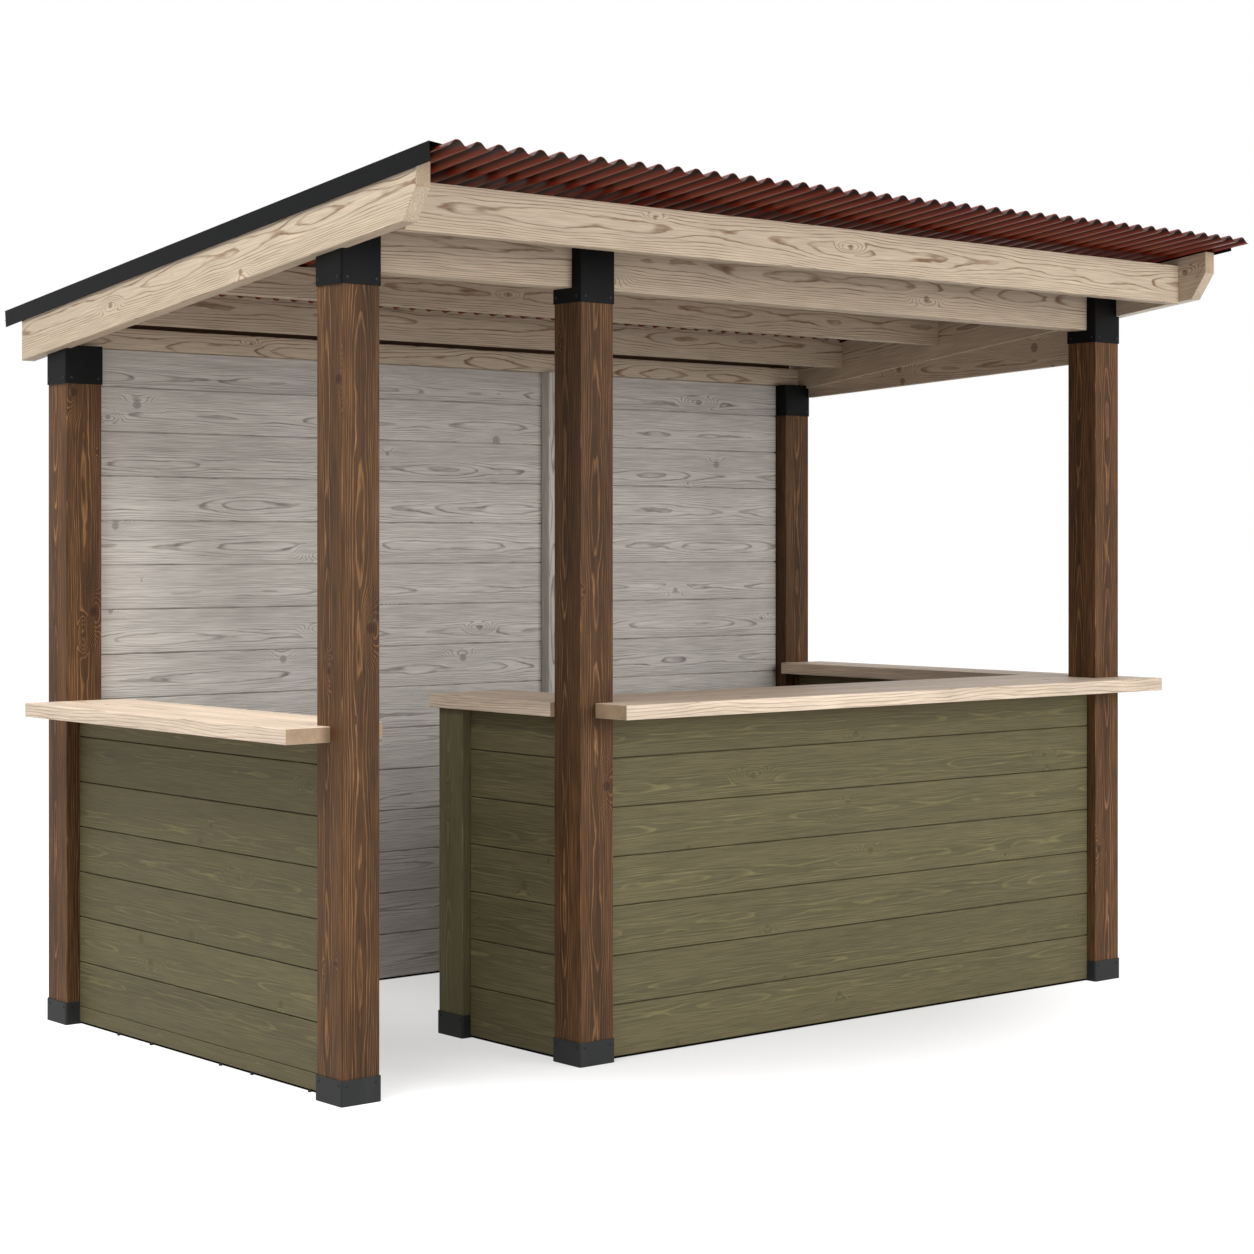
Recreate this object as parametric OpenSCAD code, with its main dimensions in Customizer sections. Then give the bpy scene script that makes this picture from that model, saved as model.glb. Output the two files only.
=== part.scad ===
// Outdoor bar stand: a lean-to on five posts, high at the front and low at the back.
// Millimetres, +Z up, X along the front from left to right, Y from the front to the back.
// Places are worked out from the left front corner of the front left post, then moved
// so that the origin is at the centre of the object's footprint, on the ground.

/* [Posts] */
// Side of the square posts
post_w = 120; // [100:1:140]
// Radius of the posts' eased edges
post_edge = 3; // [1:0.5:6]
// Front left post to middle post, left face to left face: the entrance and one post
entrance_pitch = 805; // [650:5:1000]
// Front left post to front right post, left face to left face
frame_length = 3045; // [2600:10:3600]
// Front posts to back posts, front face to front face
frame_depth = 1520; // [1400:10:1900]
// Middle post to return post, front face to front face
return_pitch = 562; // [400:1:640]

/* [Steel sleeves] */
// Wall of the steel sleeves on the posts
sleeve_wall = 4; // [3:0.5:6]
// Height of the sleeves at the posts' feet
foot_h = 69; // [50:1:100]
// Ground to the underside of the front brackets
front_clear = 2165; // [2050:5:2350]
// Height of a front bracket from its underside to its saddle
saddle_h = 42; // [30:1:70]
// Depth of the upright plate in front of the header, with the sleeve's wall
upstand_depth = 39; // [25:1:50]
// Height of a back bracket below the rafter, measured at the post's front face
back_bracket_h = 108; // [80:1:140]

/* [Rafters] */
// Slope of the roof in degrees
roof_pitch = 6.5; // [5:0.25:9]
// Thickness of the two rafters
rafter_t = 45; // [35:1:60]
// Height of the rafters, square to the slope
rafter_h = 145; // [130:1:180]
// Rafter's outer face beyond the posts' outer faces
rafter_out = 30; // [10:1:35]
// Header's underside below the rafters' underside, at the front faces of the front posts
header_drop = 50; // [30:1:80]
// Rafter tips in front of the front posts
rafter_front = 378; // [300:1:450]
// Rafter ends behind the back posts
rafter_back = 120; // [80:5:200]
// Height of the upright cut at a rafter's tip
tip_plumb = 70; // [50:1:100]
// Length of the slanted cut under a rafter's tip
tip_run = 57; // [30:1:80]

/* [Beams] */
// Thickness of the header behind the upright plates
header_t = 70; // [45:1:85]
// Height of the header
header_h = 145; // [120:1:150]
// Thickness of the fascia board
fascia_t = 45; // [30:1:60]
// Height of the fascia board
fascia_h = 127; // [110:1:140]
// Fascia's front face behind the rafter tips
fascia_set = 110; // [70:1:140]
// Fascia's underside below the rafters' underside there
fascia_drop = 6; // [0:1:25]
// Thickness of the two purlins
purlin_t = 45; // [35:1:60]
// Height of the two purlins
purlin_h = 95; // [70:1:130]
// Rear purlin's front face in front of the back posts' front faces
purlin_rear_set = 205; // [120:1:400]
// Middle purlin to rear purlin, front face to front face
purlin_spacing = 495; // [350:1:600]
// Thickness of the plate over the back wall
plate_t = 45; // [35:1:50]
// Height of the plate over the back wall
plate_h = 66; // [50:1:90]
// Plate's underside above the rafters' underside, at the back posts' front faces
plate_rise = 10; // [5:1:30]
// Thickness of the tapered board under the right rafter
taper_t = 22; // [16:1:28]
// Tapered board's inner face behind the right rafter's inner face
taper_set = 10; // [4:1:16]
// Height of the tapered board at the front bracket
taper_front_h = 133; // [100:1:170]
// Height of the tapered board at the back bracket
taper_back_h = 36; // [20:1:60]

/* [Roof sheets] */
// Depth of the sheets' waves
wave_depth = 18; // [12:1:24]
// Thickness of the sheets
sheet_t = 1.5; // [1:0.1:2]
// Clearance between two sheets where they lap
lap_gap = 0.3; // [0.2:0.1:0.6]
// Sheets beyond the rafters' outer faces
sheet_side = 3; // [1:0.5:6]
// Sheets in front of the rafter tips
sheet_front = 135; // [80:5:160]
// Sheets behind the rafter ends
sheet_back = 110; // [60:5:160]
// Width of the verge trims' upper leg
trim_w = 66; // [50:1:90]
// Thickness of the verge trims
trim_t = 1.5; // [1:0.1:3]
// Clearance between a verge trim and the sheet under it
trim_gap = 0.3; // [0.2:0.1:0.6]
// Drop of the left verge trim
trim_left_drop = 44; // [30:1:60]
// Drop of the right verge trim
trim_right_drop = 31; // [26:1:60]
// Verge trims' front ends behind the sheets' front edge
trim_front = 70; // [10:1:90]
// Rise of the verge trims' fold over the inner edge of their upper leg
trim_rise = 8; // [0:1:12]
// Verge trims' back ends in front of the sheets' back edge
trim_back = 8; // [2:1:60]

/* [Panels and wall] */
// Thickness of the boards in the panels
panel_t = 22; // [16:1:30]
// Ground to the underside of the panels and the back wall
panel_gap = 7; // [4:1:20]
// Front panel's face behind the posts' front faces
front_recess = 33; // [10:1:60]
// Left panel's face inside the posts' left faces
left_recess = 43; // [10:1:60]
// Return panel's face inside the posts' left faces
return_recess = 27; // [10:1:60]
// Right panel's face inside the posts' right faces
right_recess = 33; // [10:1:60]
// Thickness of the back wall's boards
wall_t = 22; // [16:1:24]
// Back wall's front face behind the back posts' front faces
wall_set = 52; // [50:1:80]
// Left side of the wall's stud from the left face of the left posts
stud_x = 1895; // [1300:5:2300]
// Width of the wall's stud
stud_w = 54; // [35:1:70]
// Depth of the wall's stud
stud_t = 44; // [30:1:60]

/* [Worktops] */
// Thickness of the worktops
top_t = 42; // [30:1:50]
// Ground to the upper face of the front, right and return worktops
front_top_z = 1028; // [950:1:1150]
// Ground to the upper face of the left worktop
left_top_z = 997; // [950:1:1150]
// Clearance between a worktop and the posts that it is cut round or ends at
notch_gap = 0.3; // [0.2:0.1:1]
// Left worktop outside the posts
left_top_out = 140; // [100:5:200]
// Left worktop inside the posts
left_top_in = 92; // [60:1:150]
// Left worktop's end forward of the front left post's back face
left_top_lap = 66; // [20:1:100]
// Front worktop in front of the posts
front_top_out = 140; // [100:5:200]
// Front worktop behind the posts
front_top_in = 190; // [100:5:250]
// Front worktop's end to the left of the middle post's right face
front_top_lap = 67; // [20:1:100]
// Right worktop outside the posts
right_top_out = 60; // [30:1:150]
// Right worktop inside the posts
right_top_in = 25; // [0:1:150]
// Return worktop outside the middle post
return_top_out = 15; // [5:1:60]
// Return worktop inside the middle post
return_top_in = 162; // [100:1:250]
// Return worktop behind the return post
return_top_past = 30; // [20:1:80]

/* [Hidden] */
$fn = 32;
// Overshoot of a cut past the face that it goes through
cut = 1;
post_brown = "#5a3d2a";
steel_black = "#313232";
pine_pale = "#d3bfa2";
board_green = "#5c5c3f";
board_grey = "#aaa49e";
sheet_red = "#53200f";

// Left front corner of each post
front_left = [0, 0];
front_middle = [entrance_pitch, 0];
front_right = [frame_length, 0];
back_left = [0, frame_depth];
back_right = [frame_length, frame_depth];
return_end = [entrance_pitch, return_pitch];

// Planes of the frame
right_face = frame_length + post_w;
back_face = frame_depth + post_w;
wall_front = frame_depth + wall_set;
slope = tan(roof_pitch);
rafter_plumb = rafter_h / cos(roof_pitch);
saddle_z = front_clear + saddle_h;
under_front_z = saddle_z + header_drop;
function under_z(y) = under_front_z - slope * y;
function roof_z(y) = under_z(y) + rafter_plumb;
plate_z = under_z(frame_depth) + plate_rise;
back_clear = under_z(frame_depth) - back_bracket_h;
rafter_left_x = -rafter_out;
rafter_right_x = right_face + rafter_out - rafter_t;
beam_x = rafter_left_x + rafter_t;
beam_length = rafter_right_x - beam_x;
purlin_rear_y = frame_depth - purlin_rear_set;
purlin_middle_y = purlin_rear_y - purlin_spacing;
tip_y = -rafter_front;
rafter_end_y = back_face + rafter_back;

// Tops of the posts, under the brackets' cap plates
front_post_top = saddle_z - sleeve_wall;
back_cap_z = under_z(back_face + sleeve_wall);
back_post_top = back_cap_z - sleeve_wall;
return_post_top = front_top_z - top_t;

// Roof sheets: waves of each sheet from left to right, and the waves by which two sheets lap
sheet_waves = [6, 16, 15, 15];
lap_waves = 1;
wave_steps = 12;
function first_wave(index) =
    index == 0 ? 0 : first_wave(index - 1) + sheet_waves[index - 1] - lap_waves;
wave_total = first_wave(len(sheet_waves)) + lap_waves;
sheet_x = rafter_left_x - sheet_side;
sheet_width = right_face + rafter_out + sheet_side - sheet_x;
wave_pitch = sheet_width / wave_total;
sheet_front_y = tip_y - sheet_front;
sheet_back_y = rafter_end_y + sheet_back;
sheet_length = (sheet_back_y - sheet_front_y) / cos(roof_pitch);
lap_lift = sheet_t + lap_gap;
trim_seat = wave_depth + sheet_t + trim_gap;

// Footprint, for the origin
x_low = min(-left_top_out, sheet_x - trim_gap - trim_t);
x_high = max(right_face + right_top_out, sheet_x + sheet_width + trim_gap + trim_t);
y_low = sheet_front_y;
y_high = sheet_back_y + sin(roof_pitch) * (wave_depth + sheet_t + lap_lift);
origin_x = (x_low + x_high) / 2;
origin_y = (y_low + y_high) / 2;

// Moves a piece from the front left post's corner to the object's origin
module set_out() {
    translate([-origin_x, -origin_y, 0]) children();
}

// Box between two corners
module block(low, high) {
    translate(low) cube(high - low);
}

// Upright with eased edges on the plan of a post, grown by a wall all round
module upright(at, grow, z_low, z_high) {
    edge = post_edge + grow;
    side = post_w + 2 * grow;
    translate([at.x - grow, at.y - grow, z_low])
        linear_extrude(z_high - z_low)
            union() {
                translate([edge, 0]) square([side - 2 * edge, side]);
                translate([0, edge]) square([side, side - 2 * edge]);
                for (x = [edge, side - edge], y = [edge, side - edge])
                    translate([x, y]) circle(edge);
            }
}

// Outline in Y and Z, drawn out along X
module along_x(x, length) {
    translate([x, 0, 0]) rotate([90, 0, 90]) linear_extrude(length) children();
}

// Outline across the roof, drawn out along the slope between two places in Y
module along_slope(y_front, y_back) {
    translate([0, y_back, roof_z(y_back)])
        rotate([90 - roof_pitch, 0, 0])
            linear_extrude((y_back - y_front) / cos(roof_pitch)) children();
}

// Everything over the underside of the rafters, between two places in X
module over_rafter(x_low, x_high) {
    along_x(x_low, x_high - x_low)
        polygon([
            [tip_y, under_z(tip_y)], [rafter_end_y, under_z(rafter_end_y)],
            [rafter_end_y, roof_z(tip_y)], [tip_y, roof_z(tip_y)]
        ]);
}

module post(at, top, finish) {
    color(finish) set_out() upright(at, 0, sleeve_wall, top);
}

// Square sleeve with a base plate
module foot(at) {
    color(steel_black) set_out() difference() {
        upright(at, sleeve_wall, 0, foot_h);
        upright(at, 0, sleeve_wall, foot_h + cut);
    }
}

// Sleeve with a cap plate, an upright plate in front of the header and a seat for a rafter
module front_bracket(at, seat_x_low, seat_x_high) {
    upstand_top = saddle_z + header_h;
    color(steel_black) set_out() difference() {
        union() {
            upright(at, sleeve_wall, front_clear, saddle_z);
            intersection() {
                upright(at, sleeve_wall, front_clear, upstand_top);
                block(
                    [at.x - sleeve_wall, at.y - sleeve_wall, front_clear],
                    [at.x + post_w + sleeve_wall, at.y - sleeve_wall + upstand_depth, upstand_top]
                );
            }
            if (seat_x_high > seat_x_low)
                intersection() {
                    upright(at, sleeve_wall, front_clear, under_front_z + sleeve_wall);
                    block(
                        [seat_x_low, at.y - sleeve_wall, front_clear],
                        [seat_x_high, at.y + post_w + sleeve_wall, under_front_z + sleeve_wall]
                    );
                }
        }
        upright(at, 0, front_clear - cut, front_post_top);
        if (seat_x_high > seat_x_low) over_rafter(seat_x_low, seat_x_high);
    }
}

// Sleeve with a cap plate and a block that carries the plate beside the rafter
module back_bracket(at, seat_x_low, seat_x_high) {
    color(steel_black) set_out() difference() {
        upright(at, sleeve_wall, back_clear, plate_z);
        upright(at, 0, back_clear - cut, back_post_top);
        over_rafter(seat_x_low, seat_x_high);
    }
}

module rafter(x) {
    top = roof_z(tip_y);
    heel_y = tip_y + tip_run;
    color(pine_pale) set_out() along_x(x, rafter_t)
        polygon([
            [tip_y, top], [tip_y, top - tip_plumb], [heel_y, under_z(heel_y)],
            [rafter_end_y, under_z(rafter_end_y)], [rafter_end_y, roof_z(rafter_end_y)]
        ]);
}

// Square board between the rafters
module cross_board(y, z, thickness, height) {
    color(pine_pale) set_out()
        block([beam_x, y, z], [beam_x + beam_length, y + thickness, z + height]);
}

module front_fascia() {
    face_y = tip_y + fascia_set;
    cross_board(face_y, under_z(face_y) - fascia_drop, fascia_t, fascia_h);
}

module header_beam() {
    cross_board(upstand_depth - sleeve_wall, saddle_z, header_t, header_h);
}

// A purlin's upper back edge meets the sheets
module purlin(y) {
    cross_board(y, roof_z(y + purlin_t) - purlin_h, purlin_t, purlin_h);
}

module back_plate() {
    cross_board(wall_front + (wall_t - plate_t) / 2, plate_z, plate_t, plate_h);
}

// Board between the right brackets, cut to the slope above and nearly level below
module right_taper_board() {
    y_front = post_w + sleeve_wall;
    y_back = frame_depth - sleeve_wall;
    color(pine_pale) set_out() along_x(rafter_right_x + taper_set, taper_t)
        polygon([
            [y_front, under_z(y_front) - taper_front_h], [y_back, under_z(y_back) - taper_back_h],
            [y_back, under_z(y_back)], [y_front, under_z(y_front)]
        ]);
}

// Height of the waves at a step from the sheets' left edge
function wave_z(step) = wave_depth / 2 * (1 - cos(360 * step / wave_steps));

// Every second sheet lies over its neighbours
module roof_sheet(index) {
    first = first_wave(index) * wave_steps;
    last = first + sheet_waves[index] * wave_steps;
    lift = index % 2 * lap_lift;
    step_w = wave_pitch / wave_steps;
    lower = [for (i = [first:last]) [sheet_x + i * step_w, wave_z(i) + lift]];
    upper = [for (i = [last:-1:first]) [sheet_x + i * step_w, wave_z(i) + lift + sheet_t]];
    color(sheet_red) set_out() along_slope(sheet_front_y, sheet_back_y) polygon(concat(lower, upper));
}

// Angle over a side edge of the sheets, with its upper leg on the last wave
module verge_trim(edge_x, inward, lift, drop) {
    seat = trim_seat + lift;
    outer = -trim_gap - trim_t;
    color(steel_black) set_out()
        along_slope(sheet_front_y + trim_front, sheet_back_y - trim_back)
            translate([edge_x, 0]) turned(inward) polygon([
                [outer, seat + trim_t + trim_rise], [outer, seat + trim_t - drop],
                [-trim_gap, seat + trim_t - drop], [-trim_gap, seat + trim_rise],
                [trim_w, seat], [trim_w, seat + trim_t]
            ]);
}

// Turns an outline to face the other way when side is -1
module turned(side) {
    if (side < 0) mirror([1, 0]) children();
    else children();
}

module verge_trim_left() {
    verge_trim(sheet_x, 1, 0, trim_left_drop);
}

module verge_trim_right() {
    verge_trim(sheet_x + sheet_width, -1, lap_lift, trim_right_drop);
}

// Board panel between two posts, cut back at its ends for the sleeves at their feet
module panel_along_y(x, y_low, y_high, top) {
    color(board_green) set_out() difference() {
        block([x, y_low, panel_gap], [x + panel_t, y_high, top]);
        for (y = [y_low - cut, y_high - sleeve_wall])
            block([x - cut, y, panel_gap - cut], [x + panel_t + cut, y + sleeve_wall + cut, foot_h]);
    }
}

module panel_along_x(y, x_low, x_high, top) {
    color(board_green) set_out() difference() {
        block([x_low, y, panel_gap], [x_high, y + panel_t, top]);
        for (x = [x_low - cut, x_high - sleeve_wall])
            block([x, y - cut, panel_gap - cut], [x + sleeve_wall + cut, y + panel_t + cut, foot_h]);
    }
}

module left_panel() {
    panel_along_y(left_recess, post_w, frame_depth, left_top_z - top_t);
}

module front_panel() {
    panel_along_x(front_recess, entrance_pitch + post_w, frame_length, front_top_z - top_t);
}

module right_panel() {
    panel_along_y(right_face - right_recess - panel_t, post_w, frame_depth, front_top_z - top_t);
}

module return_panel() {
    panel_along_y(entrance_pitch + return_recess, post_w, return_pitch, front_top_z - top_t);
}

// Board wall up to the plate, cut back for the sleeves at the back posts' feet and tops
module back_wall() {
    color(board_grey) set_out() difference() {
        block([post_w, wall_front, panel_gap], [frame_length, wall_front + wall_t, plate_z]);
        for (x = [post_w - cut, frame_length - sleeve_wall]) {
            block(
                [x, wall_front - cut, panel_gap - cut],
                [x + sleeve_wall + cut, wall_front + wall_t + cut, foot_h]
            );
            block(
                [x, wall_front - cut, back_clear],
                [x + sleeve_wall + cut, wall_front + wall_t + cut, plate_z + cut]
            );
        }
    }
}

module wall_stud() {
    color(board_grey) set_out()
        block([stud_x, wall_front - stud_t, panel_gap], [stud_x + stud_w, wall_front, plate_z]);
}

// Slab of a worktop from its outline, with its upper face at a height
module worktop(top_z) {
    color(pine_pale) set_out() translate([0, 0, top_z - top_t]) linear_extrude(top_t) children();
}

// Cut out round the front left post, and square across from its back face on the inside
module left_worktop() {
    end_y = post_w - left_top_lap;
    worktop(left_top_z) difference() {
        translate([-left_top_out, end_y])
            square([left_top_out + post_w + left_top_in, frame_depth - notch_gap - end_y]);
        translate([-notch_gap, end_y - cut])
            square([post_w + left_top_in + notch_gap + cut, left_top_lap + notch_gap + cut]);
    }
}

// Cut out round the middle post and the front right post
module front_worktop() {
    post_right_x = entrance_pitch + post_w;
    end_x = post_right_x - front_top_lap;
    hole = post_w + 2 * notch_gap;
    worktop(front_top_z) difference() {
        translate([end_x, -front_top_out])
            square([right_face + right_top_out - end_x, front_top_out + post_w + front_top_in]);
        translate([end_x - cut, -notch_gap])
            square([front_top_lap + notch_gap + cut, post_w + front_top_in + notch_gap + cut]);
        translate(front_right - [notch_gap, notch_gap]) square([hole, hole]);
    }
}

module right_worktop() {
    y_front = post_w + front_top_in;
    worktop(front_top_z)
        translate([frame_length - right_top_in, y_front])
            square([right_top_in + post_w + right_top_out, frame_depth - notch_gap - y_front]);
}

// Butts against the middle post and the front worktop
module return_worktop() {
    y_low = post_w + notch_gap;
    y_joint = post_w + front_top_in;
    x_joint = entrance_pitch + post_w + notch_gap;
    x_high = entrance_pitch + post_w + return_top_in;
    worktop(front_top_z) difference() {
        translate([entrance_pitch - return_top_out, y_low])
            square([
                return_top_out + post_w + return_top_in,
                return_pitch + post_w + return_top_past - y_low
            ]);
        translate([x_joint, y_low - cut])
            square([x_high - x_joint + cut, y_joint - y_low + cut]);
    }
}

post(front_left, front_post_top, post_brown);  // post_front_left
post(front_middle, front_post_top, post_brown);  // post_front_middle
post(front_right, front_post_top, post_brown);  // post_front_right
post(back_left, back_post_top, post_brown);  // post_back_left
post(back_right, back_post_top, post_brown);  // post_back_right
post(return_end, return_post_top, board_green);  // post_return

foot(front_left);  // foot_front_left
foot(front_middle);  // foot_front_middle
foot(front_right);  // foot_front_right
foot(back_left);  // foot_back_left
foot(back_right);  // foot_back_right
foot(return_end);  // foot_return

front_bracket(front_left, rafter_left_x, beam_x);  // bracket_front_left
front_bracket(front_middle, 0, 0);  // bracket_front_middle
front_bracket(front_right, rafter_right_x, rafter_right_x + rafter_t);  // bracket_front_right
back_bracket(back_left, rafter_left_x, beam_x);  // bracket_back_left
back_bracket(back_right, rafter_right_x, rafter_right_x + rafter_t);  // bracket_back_right

rafter(rafter_left_x);  // rafter_left
rafter(rafter_right_x);  // rafter_right
front_fascia();
header_beam();
purlin(purlin_middle_y);  // purlin_middle
purlin(purlin_rear_y);  // purlin_rear
back_plate();
right_taper_board();

roof_sheet(0);  // roof_sheet_first
roof_sheet(1);  // roof_sheet_second
roof_sheet(2);  // roof_sheet_third
roof_sheet(3);  // roof_sheet_fourth
verge_trim_left();
verge_trim_right();

left_panel();
front_panel();
right_panel();
return_panel();
back_wall();
wall_stud();

left_worktop();
front_worktop();
right_worktop();
return_worktop();
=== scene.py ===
# %% [markdown]
# # The looks of an outdoor bar stand
#
# The stand is a lean-to: five dark posts on steel feet, boarded counters with pale worktops
# on three sides, a grey board wall at the back and a roof of corrugated sheets.
# Its construction is already modelled and packed, at its real size. This lesson loads that
# model as a fixed frame and dresses it: timbers get eased edges and grain, flat panels become
# separate boards, and the roof becomes a smooth wave.

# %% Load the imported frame
import math
import random
from functools import partial

import bmesh
import bpy
from mathutils import Matrix, Vector


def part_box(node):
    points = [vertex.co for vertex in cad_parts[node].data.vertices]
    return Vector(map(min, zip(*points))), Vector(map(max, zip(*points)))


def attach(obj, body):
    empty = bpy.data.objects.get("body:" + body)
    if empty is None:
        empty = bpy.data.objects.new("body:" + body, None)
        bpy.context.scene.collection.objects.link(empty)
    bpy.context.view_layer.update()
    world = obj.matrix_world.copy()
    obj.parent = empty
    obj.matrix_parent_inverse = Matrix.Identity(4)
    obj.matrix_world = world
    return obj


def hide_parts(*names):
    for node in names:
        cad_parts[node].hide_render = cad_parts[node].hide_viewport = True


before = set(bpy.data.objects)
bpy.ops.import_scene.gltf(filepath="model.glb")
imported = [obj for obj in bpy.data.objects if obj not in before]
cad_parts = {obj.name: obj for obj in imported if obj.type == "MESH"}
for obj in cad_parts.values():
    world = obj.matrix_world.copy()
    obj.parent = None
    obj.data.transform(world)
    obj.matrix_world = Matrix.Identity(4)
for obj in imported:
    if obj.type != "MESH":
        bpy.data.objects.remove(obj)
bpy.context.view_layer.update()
scene = bpy.context.scene
MM = 0.001

# %% [markdown]
# ## Helpers
#
# Colours are written as sRGB hex values, the way a paint chart gives them, and Blender works
# with linear light, so one function converts them. Node trees are long when every link is a
# line of its own. One small function adds a node, sets it, and fills its inputs with plain
# values or with the outputs of earlier nodes. The filling stands by itself, because a shader that
# is already there needs it too. In a long tree, partial fills in the tree once, and the result is
# called add. Shapes are built with bmesh, which isn't in the scene until it is written to an
# object's mesh.

# %% Colour, node and mesh helpers
def linear(hex_colour):
    """Linear RGBA of an sRGB hex colour."""
    parts = [int(hex_colour[i:i + 2], 16) / 255 for i in (1, 3, 5)]
    light = [p / 12.92 if p <= 0.04045 else ((p + 0.055) / 1.055) ** 2.4 for p in parts]
    return (*light, 1.0)


def set_inputs(tree, target, inputs):
    """Fills a node's inputs; a value is a number, a colour, a socket, or a node's first output."""
    for key, value in inputs.items():
        source = value.outputs[0] if isinstance(value, bpy.types.Node) else value
        if isinstance(source, bpy.types.NodeSocket):
            tree.links.new(source, target.inputs[key])
        else:
            target.inputs[key].default_value = source


def add_node(tree, kind, inputs=None, **settings):
    """Adds a node with its settings and inputs."""
    made = tree.nodes.new(kind)
    for name, value in settings.items():
        setattr(made, name, value)
    set_inputs(tree, made, inputs or {})
    return made


def new_material(name):
    """A material with its node tree and its Principled shader."""
    material = bpy.data.materials.new(name)
    material.use_nodes = True
    return material, material.node_tree, material.node_tree.nodes["Principled BSDF"]


def object_from(shape, name):
    """Turns a bmesh into an object of the scene."""
    mesh = bpy.data.meshes.new(name)
    shape.to_mesh(mesh)
    shape.free()
    made = bpy.data.objects.new(name, mesh)
    scene.collection.objects.link(made)
    return made


print("white is", linear("#ffffff")[:3], "and mid grey is", round(linear("#808080")[0], 3))

# %% [markdown]
# ## The camera
#
# The photograph shows the stand from its front left corner, from a standing person's eye height.
# All posts are upright and parallel in it, so the camera is level, and the frame is moved down
# with a lens shift. The lens is a short telephoto, from about nine metres away.

# %% Camera
CAMERA_PLACE = (-5309 * MM, -6340 * MM, 1473 * MM)
CAMERA_TURN_DEG = 39.96
CAMERA_LENS = 73.9
SENSOR_WIDTH = 36
CAMERA_SHIFT_Y = -0.0642

camera = bpy.data.objects.new("camera", bpy.data.cameras.new("camera"))
camera.location = CAMERA_PLACE
camera.rotation_euler = (math.radians(90), 0, -math.radians(CAMERA_TURN_DEG))
camera.data.sensor_width = SENSOR_WIDTH
camera.data.lens = CAMERA_LENS
camera.data.shift_y = CAMERA_SHIFT_Y
scene.collection.objects.link(camera)
scene.camera = camera
print("camera:", round(Vector(CAMERA_PLACE).length, 2), "m from the origin, lens", CAMERA_LENS, "mm")

# %% [markdown]
# ## Light, background and floor
#
# A white sky lights the stand from all sides, as a cloudy day does. Two large soft lamps help
# it: one high at the left, for the left faces and the tops, and one low in front, which reaches
# under the roof to the back wall. Faces inside see little of either and stay dark. The floor is
# pale and takes the shadow. What the camera and reflections see of it is lifted to white by some
# glow, which Light Path keeps out of the light that falls on the stand. The glow is weaker near
# the middle, so the floor under and around the stand is painted darker: painted shade on top of
# the real shadow.

# %% Sky, lamps and floor
SKY_STRENGTH = 0.53
LAMPS = {               # place, side in metres, power in watts and the point it faces
    "left lamp": ((-5.2, -1.5, 9.4), 5.0, 840.0, (-1.6, -0.3, 1.0)),
    "front lamp": ((2.0, -8.4, 3.2), 4.0, 325.0, (0.3, 0.3, 1.1)),
}
FLOOR_SIDE = 80.0
FLOOR_GREY = "#bcbcbc"
# Less glow near the middle paints the floor under the roof darker: painted shade
FLOOR_GLOW = 0.44       # under the roof, where the shadow lies
FLOOR_GLOW_OPEN = 0.8
SHADOW_NEAR = 0.9       # metres from the middle where the glow starts to rise
SHADOW_FAR = 1.9


def seen_directly(tree):
    """1 for what the camera sees itself, or in a reflection or through glass, and 0 otherwise."""
    path = add_node(tree, "ShaderNodeLightPath")
    mirrored = add_node(
        tree, "ShaderNodeMath",
        {0: path.outputs["Is Camera Ray"], 1: path.outputs["Is Glossy Ray"]}, operation="MAXIMUM")
    return add_node(
        tree, "ShaderNodeMath", {0: mirrored, 1: path.outputs["Is Transmission Ray"]},
        operation="MAXIMUM")


world = bpy.data.worlds.new("white sky")
world.use_nodes = True
scene.world = world
sky_tree = world.node_tree
sky_strength = add_node(
    sky_tree, "ShaderNodeMapRange", {0: seen_directly(sky_tree), 3: SKY_STRENGTH, 4: 1.0})
set_inputs(
    sky_tree, sky_tree.nodes["Background"], {"Color": linear("#ffffff"), "Strength": sky_strength})

for name, (place, side, power, target) in LAMPS.items():
    lamp = bpy.data.objects.new(name, bpy.data.lights.new(name, "AREA"))
    lamp.data.size = side
    lamp.data.energy = power
    lamp.location = place
    lamp.rotation_euler = (Vector(target) - Vector(place)).to_track_quat("-Z", "Y").to_euler()
    scene.collection.objects.link(lamp)

pale_floor, floor_tree, floor_shader = new_material("pale studio floor")
floor_place = add_node(floor_tree, "ShaderNodeTexCoord").outputs["Object"]
away = add_node(floor_tree, "ShaderNodeVectorMath", {0: floor_place}, operation="LENGTH")
open_glow = add_node(
    floor_tree, "ShaderNodeMapRange",
    {0: away.outputs["Value"], 1: SHADOW_NEAR, 2: SHADOW_FAR, 3: FLOOR_GLOW, 4: FLOOR_GLOW_OPEN},
    interpolation_type="SMOOTHSTEP")
floor_glow = add_node(
    floor_tree, "ShaderNodeMath", {0: seen_directly(floor_tree), 1: open_glow}, operation="MULTIPLY")
set_inputs(floor_tree, floor_shader, {
    "Base Color": linear(FLOOR_GREY), "Roughness": 1.0, "Specular IOR Level": 0.0,
    "Emission Color": linear("#ffffff"), "Emission Strength": floor_glow})

floor_mesh = bpy.data.meshes.new("floor")
half = FLOOR_SIDE / 2
floor_mesh.from_pydata(
    [(-half, -half, 0), (half, -half, 0), (half, half, 0), (-half, half, 0)], [], [(0, 1, 2, 3)])
floor_mesh.materials.append(pale_floor)
floor = bpy.data.objects.new("floor", floor_mesh)
scene.collection.objects.link(floor)
scene.view_settings.view_transform = "Standard"
print("sky", SKY_STRENGTH, "and", len(LAMPS), "lamps over a floor of", FLOOR_SIDE, "m")

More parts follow.
